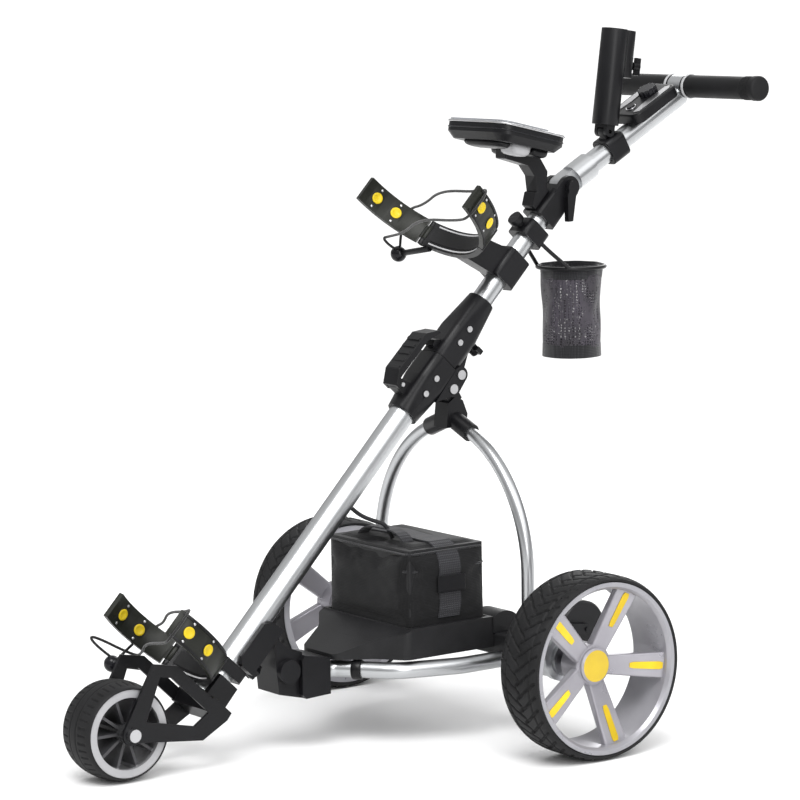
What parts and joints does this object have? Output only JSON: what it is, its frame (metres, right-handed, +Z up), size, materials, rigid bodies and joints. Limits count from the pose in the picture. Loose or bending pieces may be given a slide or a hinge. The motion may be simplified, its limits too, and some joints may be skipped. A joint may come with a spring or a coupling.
{
  "type": "electric golf trolley",
  "caption": "Three-wheeled electric golf trolley with a folding stem, two bag cradles, a bagged battery, a T handle, umbrella holder and mesh pouch.",
  "frame": {"origin": "on the ground, below the middle of the whole trolley", "axes": "+X to the user's left, -Y towards the front wheel, +Z up"},
  "size_m": [0.7, 1.1115, 1.0033],
  "materials": {
    "silver_tube": "satin",
    "black_plastic": "matt",
    "charcoal_plastic": "fine grain",
    "gloss_black": "gloss",
    "wheel_silver": "silver with yellow stripes on the spokes",
    "cap_yellow": "gloss",
    "tyre_rubber": "matt, treaded",
    "grip_foam": "matt",
    "motor_case": "satin",
    "dark_steel": "satin",
    "rivet_steel": "bright",
    "bag_nylon": "woven",
    "mesh_fabric": "net",
    "elastic_cord": "braided",
    "battery_case": "matt",
    "lead_black": "matt",
    "lid_plastic": "smoked"
  },
  "bodies": {
    "chassis": {"lower_stem_tube": "silver_tube", "hinge_lower_casting": "black_plastic", "hinge_pins": "rivet_steel", "y_bracket": "black_plastic", "arch_tubes": "silver_tube", "fold_bracket": "black_plastic", "frame_rails": "silver_tube", "axle_beam": "charcoal_plastic", "motor_left": "motor_case", "motor_right": "motor_case", "battery_tray": "charcoal_plastic", "battery": "battery_case", "battery_bag": "bag_nylon", "battery_lead": "lead_black", "front_fork": "black_plastic", "front_axle": "dark_steel", "anti_tip_arm": "black_plastic", "lower_cradle": "black_plastic", "lower_bungee": "elastic_cord"},
    "upper_frame": {"upper_stem_tube": "silver_tube", "hinge_upper_casting": "black_plastic", "upper_rivets": "rivet_steel", "upper_cradle": "black_plastic", "upper_bungee": "elastic_cord", "handle_joint": "black_plastic", "pouch_holder": "black_plastic", "mesh_pouch": "mesh_fabric", "console_bracket": "black_plastic", "console_tray": "charcoal_plastic"},
    "handle": {"handle_tube": "silver_tube", "grip_left": "grip_foam", "grip_right": "grip_foam", "control_housing": "charcoal_plastic", "umbrella_clamp": "black_plastic"},
    "rear_wheel_left": {"rear_rim_left": "wheel_silver", "rear_tyre_left": "tyre_rubber", "hub_cap_left": "cap_yellow", "rear_axle_left": "dark_steel"},
    "rear_wheel_right": {"rear_rim_right": "wheel_silver", "rear_tyre_right": "tyre_rubber", "hub_cap_right": "cap_yellow", "rear_axle_right": "dark_steel"},
    "rotor_left": {"motor_rotor_left": "dark_steel"},
    "rotor_right": {"motor_rotor_right": "dark_steel"},
    "front_wheel": {"front_rim": "black_plastic", "front_tyre": "tyre_rubber"},
    "anti_tip_roller": {"anti_tip_wheel": "black_plastic"},
    "latch": {"latch_lever": "black_plastic"},
    "fold_screw": {"fold_knob": "black_plastic"},
    "hinge_screw": {"hinge_knob": "black_plastic"},
    "handle_clamp_lever": {"handle_lever": "black_plastic"},
    "pad_lower_left": {"lower_pad_left": "black_plastic"},
    "pad_lower_right": {"lower_pad_right": "black_plastic"},
    "pad_upper_left": {"upper_pad_left": "black_plastic"},
    "pad_upper_right": {"upper_pad_right": "black_plastic"},
    "lid": {"console_lid": "lid_plastic"},
    "dial": {"speed_dial": "gloss_black"},
    "button": {"power_button": "gloss_black"},
    "umbrella_cup": {"umbrella_holder": "black_plastic"},
    "umbrella_screw": {"umbrella_knob": "black_plastic"}
  },
  "joints": [
    {"name": "rear_wheel_left_spin", "type": "hinge", "parent": "chassis", "child": "rear_wheel_left", "pos_m": [0.309, 0.09725, 0.13], "axis": [1, 0, 0], "continuous": true},
    {"name": "rear_wheel_right_spin", "type": "hinge", "parent": "chassis", "child": "rear_wheel_right", "pos_m": [-0.309, 0.09725, 0.13], "axis": [1, 0, 0], "continuous": true},
    {"name": "rotor_left_spin", "type": "hinge", "parent": "chassis", "child": "rotor_left", "pos_m": [0.212, 0.09725, 0.13], "axis": [1, 0, 0], "continuous": true},
    {"name": "rotor_right_spin", "type": "hinge", "parent": "chassis", "child": "rotor_right", "pos_m": [-0.212, 0.09725, 0.13], "axis": [1, 0, 0], "continuous": true},
    {"name": "front_wheel_spin", "type": "hinge", "parent": "chassis", "child": "front_wheel", "pos_m": [0, -0.48675, 0.069], "axis": [1, 0, 0], "continuous": true},
    {"name": "anti_tip_spin", "type": "hinge", "parent": "chassis", "child": "anti_tip_roller", "pos_m": [0, 0.32825, 0.105], "axis": [1, 0, 0], "continuous": true},
    {"name": "stem_fold", "type": "hinge", "parent": "chassis", "child": "upper_frame", "pos_m": [0, 0.09293, 0.51114], "axis": [-1, 0, 0], "range_deg": [0, 70]},
    {"name": "latch_open", "type": "hinge", "parent": "chassis", "child": "latch", "pos_m": [0, -0.00453, 0.50469], "axis": [1, 0, 0], "range_deg": [0, 52]},
    {"name": "fold_knob_turn", "type": "hinge", "parent": "chassis", "child": "fold_screw", "pos_m": [0, -0.27622, 0.13498], "axis": [0, 0.723, -0.6909], "continuous": true},
    {"name": "hinge_knob_turn", "type": "hinge", "parent": "upper_frame", "child": "hinge_screw", "pos_m": [0, 0.1238, 0.55357], "axis": [0, 0.723, -0.6909], "continuous": true},
    {"name": "handle_tilt", "type": "hinge", "parent": "upper_frame", "child": "handle", "pos_m": [0, 0.30241, 0.77087], "axis": [1, 0, 0], "range_deg": [-20, 25]},
    {"name": "handle_lever_open", "type": "hinge", "parent": "upper_frame", "child": "handle_clamp_lever", "pos_m": [0, 0.30241, 0.77087], "axis": [1, 0, 0], "range_deg": [0, 110]},
    {"name": "lower_pad_left_swing", "type": "hinge", "parent": "chassis", "child": "pad_lower_left", "pos_m": [0.05851, -0.35685, 0.14702], "axis": [0, 0.6909, 0.723], "range_deg": [0, 30], "deforming": ["lower_bungee"]},
    {"name": "lower_pad_right_swing", "type": "hinge", "parent": "chassis", "child": "pad_lower_right", "pos_m": [-0.05851, -0.35685, 0.14702], "axis": [0, -0.6909, -0.723], "range_deg": [0, 30], "deforming": ["lower_bungee"]},
    {"name": "upper_pad_left_swing", "type": "hinge", "parent": "upper_frame", "child": "pad_upper_left", "pos_m": [0.07172, 0.1084, 0.70937], "axis": [0, 0.6909, 0.723], "range_deg": [0, 35], "deforming": ["upper_bungee"]},
    {"name": "upper_pad_right_swing", "type": "hinge", "parent": "upper_frame", "child": "pad_upper_right", "pos_m": [-0.07172, 0.1084, 0.70937], "axis": [0, -0.6909, -0.723], "range_deg": [0, 35], "deforming": ["upper_bungee"]},
    {"name": "console_lid_open", "type": "hinge", "parent": "upper_frame", "child": "lid", "pos_m": [0, 0.23338, 0.85715], "axis": [1, 0, 0], "range_deg": [-100, 0]},
    {"name": "speed_dial_turn", "type": "hinge", "parent": "handle", "child": "dial", "pos_m": [0, 0.47208, 0.90194], "axis": [0, -0.4863, 0.8738], "range_deg": [0, 270]},
    {"name": "power_button_press", "type": "slide", "parent": "handle", "child": "button", "axis": [0, 0.4863, -0.8738], "range_m": [0, 0.002], "stiffness_N_per_m": 400, "springref_m": -0.001},
    {"name": "umbrella_tilt", "type": "hinge", "parent": "handle", "child": "umbrella_cup", "pos_m": [0, 0.38525, 0.849], "axis": [1, 0, 0], "range_deg": [-5, 30]},
    {"name": "umbrella_knob_turn", "type": "hinge", "parent": "umbrella_cup", "child": "umbrella_screw", "pos_m": [0, 0.41796, 0.94728], "axis": [0, 0.9893, -0.1461], "continuous": true}
  ],
  "couplings": [
    {"joint": "rotor_left_spin", "follows": "rear_wheel_left_spin", "ratio": 17},
    {"joint": "rotor_right_spin", "follows": "rear_wheel_right_spin", "ratio": 17}
  ]
}
